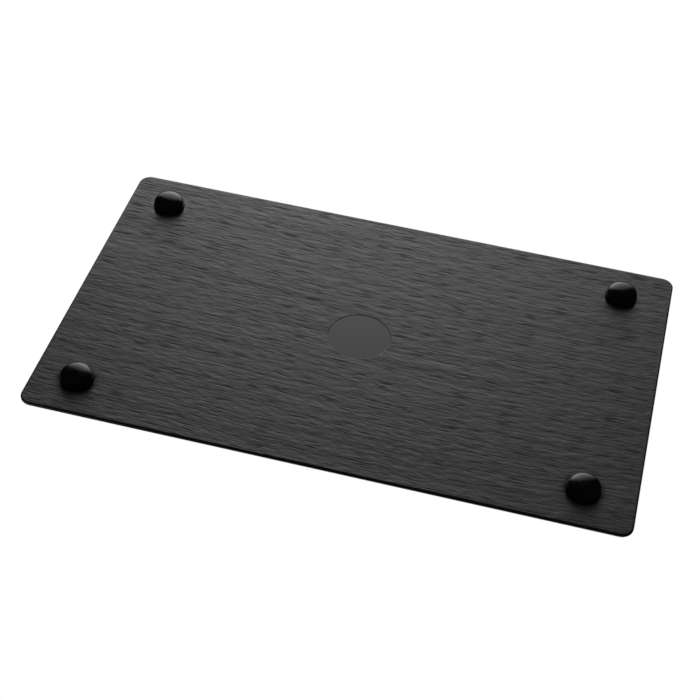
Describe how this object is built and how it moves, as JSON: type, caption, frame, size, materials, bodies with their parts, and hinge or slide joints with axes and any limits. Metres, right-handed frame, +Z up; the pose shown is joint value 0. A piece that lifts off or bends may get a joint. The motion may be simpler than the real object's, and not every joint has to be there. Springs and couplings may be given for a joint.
{
  "type": "flat serving tray",
  "caption": "Thin flat rectangular serving tray in black melamine with rounded corners, a grain-textured face and domed stick-on rubber feet at its corners.",
  "frame": {"origin": "on the table, under the middle of the tray, level with the tips of the feet", "axes": "+X along the long side, +Y along the short side, +Z up through the serving face"},
  "size_m": [0.265, 0.162, 0.0087],
  "materials": {
    "melamine": "satin",
    "foot_rubber": "gloss",
    "adhesive": "matte"
  },
  "bodies": {
    "root": {"tray_body": "melamine", "foot_front_left": "foot_rubber", "foot_front_right": "foot_rubber", "foot_rear_left": "foot_rubber", "foot_rear_right": "foot_rubber", "foot_adhesive_front_left": "adhesive", "foot_adhesive_front_right": "adhesive", "foot_adhesive_rear_left": "adhesive", "foot_adhesive_rear_right": "adhesive"}
  },
  "joints": []
}
